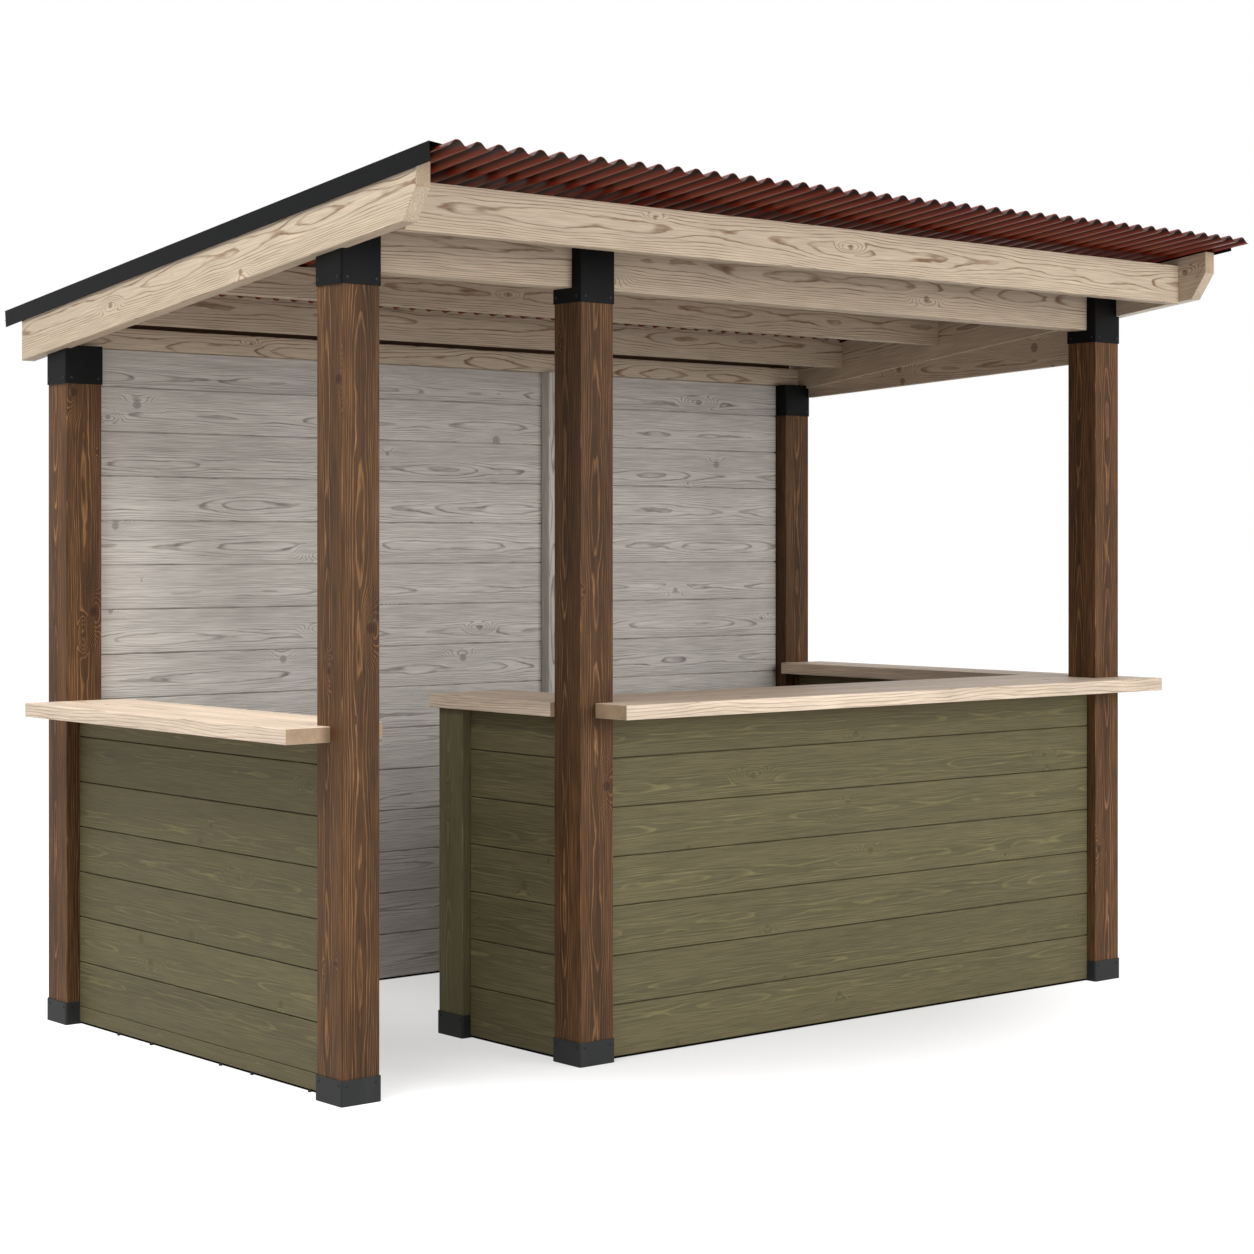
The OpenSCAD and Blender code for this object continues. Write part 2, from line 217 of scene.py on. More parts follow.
# %% [markdown]
# ## Softwood
#
# Posts, beams, boards and worktops are all sawn spruce or pine with different finishes. A trunk
# is a bundle of rings round the pith, and a board is a slice of it, so the grain on a face is a
# cut through rings. Painting stripes along a board misses that. Here every piece carries an
# attribute named grain: its own coordinates in metres, with X along the trunk, and Y and Z
# measured from the pith. The material works out the distance from the pith, sways it as a trunk
# grows, bends it round knots, and draws the rings from it. Flat faces then get long arches, and
# cut ends get curved rings, without any seam at an edge.
#
# A real ring is 2 to 4 mm wide, about a pixel here, so the rings are drawn at the wide end of
# that. Four noise textures, all stretched along the trunk, make the grain uneven.

# %% Softwood material
PIECE_STEP = 10.0       # metres of grain that each piece has for itself
UNEVEN = {              # length along the trunk, width, and the noise's detail and roughness
    "stray": (520 * MM, 210 * MM, 1.0, 0.5),    # the trunk's own line
    "wobble": (130 * MM, 26 * MM, 2.0, 0.5),    # the smaller waves in a single ring
    "streak": (140 * MM, 4 * MM, 3.0, 0.6),     # fibres
    "patch": (800 * MM, 60 * MM, 2.0, 0.5),     # broad clouds in the finish
}
NOISE_LOW = 0.2         # nearly all values of a noise lie between these two
NOISE_HIGH = 0.8
WOBBLE = 1.9 * MM
LATE_START = 0.6        # share of a ring where its dark late wood begins
LATE_PEAK = 0.9
YEAR_NOISE = (0.3, 0.7)  # some years leave a faint ring and some a strong one
YEAR_FAINT = 0.45
YEAR_STRONG = 1.3
KNOT_GAP = 700 * MM     # about one branch for this length of trunk in each sector
KNOT_SECTOR = 1.2       # radians round the pith
KNOT_SCATTER = 0.85
KNOT_SHARE = 0.5        # the share of sectors without a branch
KNOT_NONE = 0.05 * MM
KNOT_LARGEST = 13 * MM
KNOT_OVAL = 0.75        # a knot is cut aslant, so it is longer along the trunk than across it
KNOT_EDGE = (0.5, 1.25)  # where a knot's colour fades, in knot radii
KNOT_RINGS = 7.5        # radians of its own rings in a knot's radius
KNOT_TONE = (0.5, 0.85)
EYE_OVAL = 0.3          # the flow of rings round a knot is drawn out much more than the knot
EYE_REACH = 3.5         # knot radii that the flow reaches
EYE_BULGE = 1.7         # knot radii that the rings step aside
WOOD_SHEEN = 0.18       # open fibres scatter most of the mirror light that a smooth film would show
ROUGH_SPAN = 0.1


def softwood(name, early, late, knot, end, ring, sway, contrast, fibre, cloud, tone, roughness, relief):
    """Sawn softwood. Colours are hex values: early wood, late wood, knots and cut ends.

    ring is the width of a ring and sway how far a trunk's line strays, in metres. contrast is
    the strength of the late wood, fibre, cloud and tone are how much fine streaks, broad patches
    and whole pieces vary in lightness, and relief is the depth of the brushed grain in metres.
    """
    material, tree, shader = new_material(name)
    add = partial(add_node, tree)
    grain = add("ShaderNodeAttribute", attribute_name="grain").outputs["Vector"]
    parts = add("ShaderNodeSeparateXYZ", {0: grain})
    across = add("ShaderNodeVectorMath", {0: grain, 1: (0, 1, 1)}, operation="MULTIPLY")
    radius = add("ShaderNodeVectorMath", {0: across}, operation="LENGTH").outputs["Value"]
    uneven = {}
    for what, (length, width, detail, rough) in UNEVEN.items():
        scaled = add(
            "ShaderNodeVectorMath", {0: grain, 1: (1 / length, 1 / width, 1 / width)},
            operation="MULTIPLY")
        uneven[what] = add(
            "ShaderNodeTexNoise",
            {"Vector": scaled, "Scale": 1.0, "Detail": detail, "Roughness": rough})

    # Knots are branches that run straight out from the pith, one or none in each sector
    turn = add("ShaderNodeMath", {0: parts.outputs["Y"], 1: parts.outputs["Z"]}, operation="ARCTAN2")
    place = add("ShaderNodeCombineXYZ", {0: parts.outputs["X"], 1: turn})
    cell = add(
        "ShaderNodeVectorMath", {0: place, 1: (1 / KNOT_GAP, 1 / KNOT_SECTOR, 0)}, operation="MULTIPLY")
    branch = add(
        "ShaderNodeTexVoronoi", {"Vector": cell, "Scale": 1.0, "Randomness": KNOT_SCATTER},
        voronoi_dimensions="2D")
    aside = add("ShaderNodeVectorMath", {0: cell, 1: branch.outputs["Position"]}, operation="SUBTRACT")
    arc = add("ShaderNodeMath", {0: radius, 1: KNOT_SECTOR}, operation="MULTIPLY")
    pick = add("ShaderNodeSeparateColor", {0: branch.outputs["Color"]})
    knot_radius = add(
        "ShaderNodeMapRange",
        {0: pick.outputs[0], 1: KNOT_SHARE, 2: 1.0, 3: KNOT_NONE, 4: KNOT_LARGEST})
    # Distances from the branch in knot radii: for the knot itself, and for the long eye round it
    reaches = []
    for oval in (KNOT_OVAL, EYE_OVAL):
        size = add("ShaderNodeCombineXYZ", {0: oval * KNOT_GAP, 1: arc})
        sized = add("ShaderNodeVectorMath", {0: aside, 1: size}, operation="MULTIPLY")
        distance = add("ShaderNodeVectorMath", {0: sized}, operation="LENGTH").outputs["Value"]
        radii = add("ShaderNodeMath", {0: distance, 1: knot_radius}, operation="DIVIDE")
        reaches.append(radii)
    reach, eye_reach = reaches
    inside = add(
        "ShaderNodeMapRange", {0: reach, 1: KNOT_EDGE[0], 2: KNOT_EDGE[1], 3: 1.0, 4: 0.0},
        interpolation_type="SMOOTHSTEP")
    knot_ring = add("ShaderNodeMath", {0: reach, 1: KNOT_RINGS}, operation="MULTIPLY")
    knot_wave = add("ShaderNodeMath", {0: knot_ring}, operation="COSINE")
    knot_tone = add(
        "ShaderNodeMapRange", {0: knot_wave, 1: -1.0, 2: 1.0, 3: KNOT_TONE[0], 4: KNOT_TONE[1]})
    heart = add("ShaderNodeMath", {0: inside, 1: knot_tone}, operation="MULTIPLY")
    flow = add(
        "ShaderNodeMapRange", {0: eye_reach, 1: 0.0, 2: EYE_REACH, 3: 1.0, 4: 0.0},
        interpolation_type="SMOOTHERSTEP")

    # The trunk's line strays slowly, and each ring a little more
    wobbled = add(
        "ShaderNodeMath", {0: uneven["wobble"], 1: 2 * WOBBLE, 2: radius}, operation="MULTIPLY_ADD")
    strayed = add(
        "ShaderNodeMath", {0: uneven["stray"], 1: 2 * sway, 2: wobbled}, operation="MULTIPLY_ADD")
    bulge = add("ShaderNodeMath", {0: knot_radius, 1: flow}, operation="MULTIPLY")
    bent = add("ShaderNodeMath", {0: bulge, 1: EYE_BULGE, 2: strayed}, operation="MULTIPLY_ADD")
    rings = add("ShaderNodeMath", {0: bent, 1: ring}, operation="DIVIDE")
    ring_part = add("ShaderNodeMath", {0: rings}, operation="FRACT")
    rise = add(
        "ShaderNodeMapRange", {0: ring_part, 1: LATE_START, 2: LATE_PEAK, 3: 0.0, 4: 1.0},
        interpolation_type="SMOOTHSTEP")
    fall = add(
        "ShaderNodeMapRange", {0: ring_part, 1: LATE_PEAK, 2: 1.0, 3: 1.0, 4: 0.0},
        interpolation_type="SMOOTHSTEP")
    late_wood = add("ShaderNodeMath", {0: rise, 1: fall}, operation="MULTIPLY")

    year = add(
        "ShaderNodeMapRange",
        {0: uneven["wobble"], 1: YEAR_NOISE[0], 2: YEAR_NOISE[1], 3: YEAR_FAINT * contrast,
         4: YEAR_STRONG * contrast})
    late_share = add("ShaderNodeMath", {0: late_wood, 1: year}, operation="MULTIPLY")
    ringed = add("ShaderNodeMix", {0: late_share, 6: linear(early), 7: linear(late)}, data_type="RGBA")

    # Fine streaks along the grain, broad clouds, and each piece's own tone
    number = add("ShaderNodeMath", {0: parts.outputs["X"], 1: PIECE_STEP}, operation="DIVIDE")
    whole = add("ShaderNodeMath", {0: number}, operation="FLOOR")
    own = add("ShaderNodeTexWhiteNoise", {"W": whole}, noise_dimensions="1D")
    lightness = 1.0
    for source, amount in ((uneven["streak"], fibre), (uneven["patch"], cloud), (own, tone)):
        change = add(
            "ShaderNodeMapRange",
            {0: source.outputs[0], 1: NOISE_LOW, 2: NOISE_HIGH, 3: 1 - amount, 4: 1 + amount})
        lightness = add("ShaderNodeMath", {0: lightness, 1: change}, operation="MULTIPLY")
    toned = add("ShaderNodeVectorMath", {0: ringed.outputs[2], "Scale": lightness}, operation="SCALE")
    knotted = add("ShaderNodeMix", {0: heart, 6: toned, 7: linear(knot)}, data_type="RGBA")
    cut = add("ShaderNodeAttribute", attribute_name="cut_end").outputs["Fac"]
    end_wood = add("ShaderNodeMix", {0: cut, 6: (1, 1, 1, 1), 7: linear(end)}, data_type="RGBA")
    colour = add(
        "ShaderNodeMix", {0: 1.0, 6: knotted.outputs[2], 7: end_wood.outputs[2]}, data_type="RGBA",
        blend_type="MULTIPLY")
    matt = add(
        "ShaderNodeMapRange",
        {0: uneven["streak"], 1: NOISE_LOW, 2: NOISE_HIGH, 3: roughness - ROUGH_SPAN,
         4: roughness + ROUGH_SPAN})
    bump = add("ShaderNodeBump", {"Height": uneven["streak"], "Strength": 1.0, "Distance": relief})
    set_inputs(tree, shader, {
        "Base Color": colour.outputs[2], "Roughness": matt, "Normal": bump,
        "Specular IOR Level": WOOD_SHEEN})
    return material


# Posts: brushed and stained dark brown, so the hard late wood stands proud and pale
stained_posts = softwood(
    "dark stained brushed spruce", early="#503722", late="#986e48", knot="#22140c", end="#8c8c8c",
    ring=3.0 * MM, sway=9 * MM, contrast=0.68, fibre=0.85, cloud=0.42, tone=0.06, roughness=0.6,
    relief=0.6 * MM)
# Beams: planed pine, bleached pale, with thin grey-brown rings and small dark knots
pale_beams = softwood(
    "bleached planed pine", early="#cfbda6", late="#866950", knot="#6a4a35", end="#ece6de",
    ring=3.6 * MM, sway=12 * MM, contrast=0.82, fibre=0.28, cloud=0.1, tone=0.04, roughness=0.6,
    relief=0.25 * MM)
# Lower edge of the right rafter: the same pine painted nearly white, a painted highlight
pale_highlight_pine = softwood(
    "pine painted pale as highlight", early="#fbf2e4", late="#dcc4a4", knot="#8a6a4c", end="#ece6de",
    ring=4.2 * MM, sway=12 * MM, contrast=0.3, fibre=0.12, cloud=0.06, tone=0.02, roughness=0.6,
    relief=0.2 * MM)
# Worktops: the same pine, sanded and oiled, a little warmer and quieter
oiled_tops = softwood(
    "oiled sanded pine", early="#e8d4be", late="#95714f", knot="#7b573d", end="#cbbfb0",
    ring=4.0 * MM, sway=12 * MM, contrast=0.55, fibre=0.28, cloud=0.2, tone=0.02, roughness=0.5,
    relief=0.2 * MM)
# Counter boards: olive stain that sinks into the early wood and leaves the rings yellowish
olive_boards = softwood(
    "olive stained pine boards", early="#665f45", late="#8a8058", knot="#56502f", end="#a0a0a0",
    ring=3.2 * MM, sway=9 * MM, contrast=0.58, fibre=0.42, cloud=0.12, tone=0.05, roughness=0.6,
    relief=0.35 * MM)
# Back wall: grey whitewash, rubbed so that rings and knots show through
grey_boards = softwood(
    "grey whitewashed pine boards", early="#d9d3cc", late="#827b75", knot="#857e77", end="#c0c0c0",
    ring=3.3 * MM, sway=11 * MM, contrast=0.74, fibre=0.32, cloud=0.1, tone=0.04, roughness=0.68,
    relief=0.25 * MM)
finishes = (stained_posts, pale_beams, pale_highlight_pine, oiled_tops, olive_boards, grey_boards)
print("softwood finishes:", [material.name for material in finishes])

# %% [markdown]
# ## Metal finishes
#
# The feet, brackets and verge trims are steel with a matt black powder coat. The coat is baked
# plastic, so it isn't metallic, and it has a fine orange peel. On the feet it is painted lighter:
# painted light for the light that the floor throws on them. The roof sheets are rolled steel
# with a glossy red-brown paint, which shows long pale reflections along each wave. It gathers a
# little dust, and its hollows are darker: grime in the valleys on top, and painted shade in the
# recesses underneath. Screws are black-coated too, with a little more gloss.

# %% Metal materials
PEEL_SIZE = 3 * MM      # orange peel is finer than this, and is drawn as coarse as shows
DUST_LENGTH = 2333.333 * MM  # rain draws dust out into streaks
DUST_WIDTH = 83.3333 * MM
DUST_NOISE = (0.45, 0.75)  # where the dust starts, and where it is full
DUST_COVER = 0.7        # how much of the coat full dust covers
# Darkening of the hollows: grime on top, painted shade underneath
HOLLOW = (0.08, 0.75)   # share of a wave's height where grime starts, and where it is full
POLISH = 0.06           # clean patches are this much smoother


def coated_steel(name, colour, worn, roughness, peel, gloss, dirt_and_shade=0.0):
    """Steel under paint or powder coat; worn is the colour of its dusty patches.

    The last argument is how much the hollows of a corrugated sheet darken. They are the low parts
    of a wave where the face looks up, and there it is grime, and the high parts where it looks
    down, and there it is painted shade in the recesses.
    """
    material, tree, shader = new_material(name)
    add = partial(add_node, tree)
    coordinates = add("ShaderNodeTexCoord")
    place = coordinates.outputs["Object"]
    stretched = add(
        "ShaderNodeVectorMath", {0: place, 1: (1 / DUST_WIDTH, 1 / DUST_LENGTH, 1 / DUST_LENGTH)},
        operation="MULTIPLY")
    dust = add(
        "ShaderNodeTexNoise", {"Vector": stretched, "Scale": 1.0, "Detail": 4.0, "Roughness": 0.6})
    share = add(
        "ShaderNodeMapRange", {0: dust, 1: DUST_NOISE[0], 2: DUST_NOISE[1], 3: 0.0, 4: DUST_COVER},
        interpolation_type="SMOOTHSTEP")
    shade = add("ShaderNodeMix", {0: share, 6: linear(colour), 7: linear(worn)}, data_type="RGBA")
    wave_height = add("ShaderNodeAttribute", attribute_name="wave_height").outputs["Fac"]
    facing = add("ShaderNodeSeparateXYZ", {0: coordinates.outputs["Normal"]})
    looks_up = add("ShaderNodeMath", {0: facing.outputs["Z"], 1: 0.0}, operation="GREATER_THAN")
    from_top = add("ShaderNodeMath", {0: 1.0, 1: wave_height}, operation="SUBTRACT")
    hollow = add("ShaderNodeMix", {0: looks_up, 2: wave_height, 3: from_top})
    # Hollows darken: grime where the face looks up, painted shade in the recesses where it looks down
    undarkened_share = add(
        "ShaderNodeMapRange", {0: hollow, 1: HOLLOW[0], 2: HOLLOW[1], 3: 1.0, 4: 1.0 - dirt_and_shade},
        interpolation_type="SMOOTHSTEP")
    darkened_coat_colour = add("ShaderNodeVectorMath", {0: shade.outputs[2], "Scale": undarkened_share}, operation="SCALE")
    matt = add(
        "ShaderNodeMapRange",
        {0: dust, 1: NOISE_LOW, 2: NOISE_HIGH, 3: roughness - POLISH, 4: roughness + ROUGH_SPAN})
    skin = add("ShaderNodeTexNoise", {"Vector": place, "Scale": 1 / PEEL_SIZE, "Detail": 2.0})
    bump = add("ShaderNodeBump", {"Height": skin, "Strength": 0.5, "Distance": peel})
    set_inputs(tree, shader, {
        "Base Color": darkened_coat_colour, "Roughness": matt, "Normal": bump, "Specular IOR Level": gloss})
    return material


black_coat = coated_steel("black powder coated steel", "#0c0d0d", "#161717", 0.46, 0.15 * MM, 0.09)
# The same coat on the feet, painted lighter: painted light for the light that the floor throws on them
floor_lit_coat = coated_steel("dusty black powder coated steel", "#2b2c2c", "#383938", 0.55, 0.15 * MM, 0.2)
# Roof paint: hollows darker, by grime on top and by painted shade underneath
red_paint = coated_steel(
    "red-brown painted sheet steel", "#782711", "#843a25", 0.3, 0.08 * MM, 0.26, dirt_and_shade=0.92)
screw_black = coated_steel("black coated screw steel", "#18181a", "#242425", 0.4, 0.05 * MM, 0.3)
print("metal finishes:", black_coat.name, "/", red_paint.name, "/", screw_black.name)

# %% [markdown]
# ## Timbers with eased edges
#
# A planed timber never has a razor edge: the machine eases it by two or three millimetres, and
# that thin round catches the light along every arris. Modelling all the timbers again would
# repeat the frame's work, so each one starts from a copy of its CAD mesh. That mesh is loose
# triangles, so the copy is welded, its flat faces are joined up again, and then its outer edges
# are bevelled. Last, the copy gets its grain attribute: each piece has its own stretch of trunk,
# and its own pith beside or inside it.

# %% Dressed copies of CAD nodes
WELD = 0.005 * MM
FLAT_DEG = 0.5
ARRIS_DEG = 40
TRUNK_START = 0.5       # a piece starts at least this far into its own stretch of trunk, in metres
TRUNK_SPARE = 4.5       # and leaves this much, which is more than the longest piece
PITH_ASIDE = 0.4        # sideways place of the pith, as a share of its depth
CUT_END = 0.8           # a face that looks along the trunk by this much is a cut end
GRAIN_SEED = 7
draw = random.Random(GRAIN_SEED)
pieces_made = []


def eased_copy(node, name, edge, segments=3):
    """A welded copy of a CAD node with its outer edges rounded to a radius."""
    shape = bmesh.new()
    shape.from_mesh(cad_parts[node].data)
    bmesh.ops.remove_doubles(shape, verts=shape.verts, dist=WELD)
    bmesh.ops.dissolve_limit(
        shape, angle_limit=math.radians(FLAT_DEG), verts=shape.verts, edges=shape.edges)
    arrises = [
        e for e in shape.edges
        if e.is_manifold and e.is_convex and e.calc_face_angle() > math.radians(ARRIS_DEG)
    ]
    bmesh.ops.bevel(
        shape, geom=arrises, offset=edge, segments=segments, profile=0.5, affect="EDGES",
        clamp_overlap=True)
    piece = object_from(shape, name)
    for face in piece.data.polygons:
        face.use_smooth = True
    normals = piece.modifiers.new("flat faces stay flat", "WEIGHTED_NORMAL")
    normals.keep_sharp = True
    return piece


def set_grain(piece, along, face, pith):
    """Writes the grain attribute: along is the trunk's direction, face is out of the wide face.

    pith is how far the pith lies behind the piece's middle, against face, in metres.
    """
    mesh = piece.data
    along = Vector(along).normalized()
    face = (Vector(face) - Vector(face).project(along)).normalized()
    across = face.cross(along)
    points = [(v.co.dot(along), v.co.dot(across), v.co.dot(face)) for v in mesh.vertices]
    middle = [(min(p[i] for p in points) + max(p[i] for p in points)) / 2 for i in range(3)]
    start = min(p[0] for p in points)
    number = len(pieces_made)
    offset = number * PIECE_STEP + draw.uniform(TRUNK_START, PIECE_STEP - TRUNK_SPARE)
    aside = draw.uniform(-PITH_ASIDE, PITH_ASIDE) * pith
    values = []
    for p in points:
        values += [p[0] - start + offset, p[1] - middle[1] + aside, p[2] - middle[2] + pith]
    mesh.attributes.new("grain", "FLOAT_VECTOR", "POINT").data.foreach_set("vector", values)
    ends = [1.0 if abs(f.normal.dot(along)) > CUT_END else 0.0 for f in mesh.polygons]
    mesh.attributes.new("cut_end", "FLOAT", "FACE").data.foreach_set("value", ends)


def hand_over(piece, material, slot, *nodes):
    """Gives a piece its finish and its place in the frame."""
    piece.data.materials.clear()
    piece.data.materials.append(material)
    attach(piece, "root")
    if nodes:
        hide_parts(*nodes)
    pieces_made.append(piece.name)


def dress(node, along, face, pith, edge, material, slot):
    """Puts an eased copy with grain and a finish in the place of a CAD timber."""
    timber = eased_copy(node, "dressed_" + node, edge)
    set_grain(timber, along, face, pith)
    hand_over(timber, material, slot, node)
    return timber


ALONG_X = (1, 0, 0)
ALONG_Y = (0, 1, 0)
UP = (0, 0, 1)
FRONT = (0, -1, 0)
LEFT = (-1, 0, 0)
POST_EDGE = 1 * MM
POST_PITH = 12 * MM     # a post is sawn round the heart of the trunk

posts = ["front_left", "front_middle", "front_right", "back_left", "back_right"]
for place in posts:
    dress("post_" + place, UP, FRONT, POST_PITH, POST_EDGE, stained_posts, "post_wood")
return_post = dress("post_return", UP, FRONT, POST_PITH, POST_EDGE, olive_boards, "green_boards")
print("posts:", len(pieces_made), "of", [round(x / MM) for x in return_post.dimensions][:2], "mm")

# %% [markdown]
# ### Rafters and beams
#
# Rafters lie along the roof's slope, so their grain does too. The slope is measured on the CAD
# model: the lower edge of the first roof sheet runs straight from its front corner to its back
# corner. Beams run from left to right. Both are cut beside the heart, so the pith lies outside
# the piece and the wide faces show long arches. The tapered board under the right rafter is cut
# from a level plank. The right rafter's down-facing faces get a nearly white copy of the finish:
# a painted highlight for the pale line that light from below draws along that edge.

# %% Rafters and beams
BEAM_EDGE = 2.5 * MM
BEAM_PITH = 62 * MM
CORNER = 1 * MM         # points of a sheet's edge this close to its front belong to that corner
THINNEST = 0.5 * MM
LOOKS_DOWN = -0.9


def sheet_edge(node):
    """Back and front lower corners of a roof sheet's left edge, and the sheet's thickness."""
    points = [v.co.copy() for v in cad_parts[node].data.vertices]
    left = min(p.x for p in points)
    edge = [p for p in points if p.x < left + WELD]
    back = min(edge, key=lambda p: p.z)
    front = min(edge, key=lambda p: p.y)
    above = [p for p in edge if p.y < front.y + CORNER and p.z > front.z + THINNEST]
    return back, front, (above[0] - front).length


sheet_back, sheet_front, sheet_thickness = sheet_edge("roof_sheet_first")
down_slope = (sheet_back - sheet_front).normalized()
slope = math.asin(-down_slope.z)
for node, along, face in (
    ("rafter_left", down_slope, LEFT), ("rafter_right", down_slope, ALONG_X),
    ("right_taper_board", ALONG_Y, ALONG_X), ("front_fascia", ALONG_X, FRONT),
    ("header_beam", ALONG_X, FRONT), ("purlin_middle", ALONG_X, FRONT),
    ("purlin_rear", ALONG_X, FRONT), ("back_plate", ALONG_X, FRONT),
):
    timber = dress(node, along, face, BEAM_PITH, BEAM_EDGE, pale_beams, "pale_pine")
    # Faces that look down get the nearly white finish, a painted highlight along the lower edge
    if node == "rafter_right":
        timber.data.materials.append(pale_highlight_pine)
        for polygon in timber.data.polygons:
            polygon.material_index = 1 if polygon.normal.z < LOOKS_DOWN else 0
print("roof slope:", round(math.degrees(slope), 2), "degrees; timbers so far:", len(pieces_made))

# %% [markdown]
# ### Worktops
#
# The four worktops are thick planks, notched round the posts. Their edges are crisp, so the
# easing is small. One of them runs along the front, and three from front to back, and their cut
# ends show end grain, which is darker because open pores take up more oil.

# %% Worktops and stud
TOP_EDGE = 2 * MM
TOP_PITH = 85 * MM
STUD_PITH = 50 * MM
for node, along in (
    ("front_worktop", ALONG_X), ("left_worktop", ALONG_Y), ("right_worktop", ALONG_Y),
    ("return_worktop", ALONG_Y),
):
    dress(node, along, UP, TOP_PITH, TOP_EDGE, oiled_tops, "worktop_pine")
dress("wall_stud", UP, FRONT, STUD_PITH, BEAM_EDGE, grey_boards, "grey_boards")
print("worktops and stud done, pieces:", len(pieces_made))

# %% [markdown]
# ## Boards
#
# In the CAD model each counter panel and the back wall is one slab. On the real stand they are
# boards laid on each other, with a rounded front edge and a narrow open joint that reads as a
# dark line. One board is modelled here as a closed solid from its outline: a rebate along its
# upper front edge makes the joint, and the rest of the thickness touches the next board, so no
# light comes through. Bevelled back edges leave a small V there. Geometry Nodes then stack
# copies of it. The tree takes the pitch and the count, stretches the first and last board to
# fit, moves each a hair in, gives each its own stretch of trunk, and realizes the copies.

# %% One board
JOINT_OPEN = 2.5 * MM
JOINT_DEPTH = 9 * MM
BOARD_ROUND = 3 * MM
BACK_BEVEL = 3 * MM
ROUND_STEPS = 4


def board_outline(height, thickness):
    """Depth from the front face and height of each corner of a board's cross-section."""
    turn = [math.radians(90) * i / ROUND_STEPS for i in range(ROUND_STEPS + 1)]
    lip = height - JOINT_OPEN
    lower = [(BOARD_ROUND * (1 - math.sin(a)), BOARD_ROUND * (1 - math.cos(a))) for a in turn]
    upper = [(BOARD_ROUND * (1 - math.cos(a)), lip - BOARD_ROUND * (1 - math.sin(a))) for a in turn]
    back = [
        (JOINT_DEPTH, lip), (JOINT_DEPTH, height), (thickness - BACK_BEVEL, height),
        (thickness, height - BACK_BEVEL), (thickness, BACK_BEVEL), (thickness - BACK_BEVEL, 0),
    ]
    return lower + upper + back


def prism(name, outlines):
    """A closed solid between two outlines that have the same number of points."""
    shape = bmesh.new()
    first, second = [[shape.verts.new(p) for p in outline] for outline in outlines]
    shape.faces.new(first)
    shape.faces.new(list(reversed(second)))
    for i in range(len(first)):
        j = (i + 1) % len(first)
        shape.faces.new((first[i], second[i], second[j], first[j]))
    bmesh.ops.recalc_face_normals(shape, faces=shape.faces)
    return object_from(shape, name)


def board_blank(name, start, end, face, height, thickness):
    """One board from start to end, two points on the foot of its front face."""
    along = (end - start).normalized()
    outline = board_outline(height, thickness)
    blank = prism(
        name, [[foot - face * d + Vector((0, 0, h)) for d, h in outline] for foot in (start, end)])
    values = []
    for v in blank.data.vertices:
        values += [(v.co - start).dot(along), v.co.z - height / 2, (v.co - start).dot(face)]
    blank.data.attributes.new("grain", "FLOAT_VECTOR", "POINT").data.foreach_set("vector", values)
    return blank


wall_low, wall_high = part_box("back_wall")
wall_outline = board_outline(wall_high.z - wall_low.z, wall_high.y - wall_low.y)
print("board outline:", len(wall_outline), "corners")

# %% A tree that stacks boards
def new_tree(name, sockets):
    """An empty Geometry Nodes tree with named inputs, and its input node."""
    tree = bpy.data.node_groups.new(name, "GeometryNodeTree")
    tree.interface.new_socket("Geometry", in_out="OUTPUT", socket_type="NodeSocketGeometry")
    for socket, kind in sockets.items():
        tree.interface.new_socket(socket, in_out="INPUT", socket_type="NodeSocket" + kind)
    return tree, tree.nodes.new("NodeGroupInput").outputs


def finish_tree(tree, geometry, material):
    """Ends a tree in Realize Instances and Set Material."""
    solid = add_node(tree, "GeometryNodeRealizeInstances", {0: geometry})
    painted = add_node(tree, "GeometryNodeSetMaterial", {0: solid, "Material": material})
    add_node(tree, "NodeGroupOutput", {0: painted})


def grow(tree, name, **values):
    """Runs a tree with its inputs set, and returns the result as a plain mesh object."""
    piece = bpy.data.objects.new(name, bpy.data.meshes.new(name))
    scene.collection.objects.link(piece)
    modifier = piece.modifiers.new("tree", "NODES")
    modifier.node_group = tree
    for item in tree.interface.items_tree:
        if item.in_out == "INPUT":
            modifier[item.identifier] = values[item.name.replace(" ", "_").lower()]
    ready = bpy.context.evaluated_depsgraph_get()
    mesh = bpy.data.meshes.new_from_object(
        piece.evaluated_get(ready), preserve_all_data_layers=True, depsgraph=ready)
    piece.modifiers.clear()
    piece.data = mesh
    mesh.name = name
    return piece


BOARD_JITTER = 0.5 * MM
BOARD_PITH_LOW = 35 * MM
BOARD_PITH_HIGH = 80 * MM
BOARD_SPARE = 4.0       # metres of trunk left over, which is more than the longest board

stack, given = new_tree("stacked boards", {
    "Board": "Object", "Count": "Int", "Bottom": "Float", "Pitch": "Float", "First": "Float",
    "Last": "Float", "Face": "Vector", "Number": "Int", "Seed": "Int", "Material": "Material"})
add = partial(add_node, stack)
index = add("GeometryNodeInputIndex")
rise = add("ShaderNodeCombineXYZ", {2: given["Pitch"]})
foot = add("ShaderNodeCombineXYZ", {2: given["Bottom"]})
line = add("GeometryNodeMeshLine", {"Count": given["Count"], "Start Location": foot, "Offset": rise})
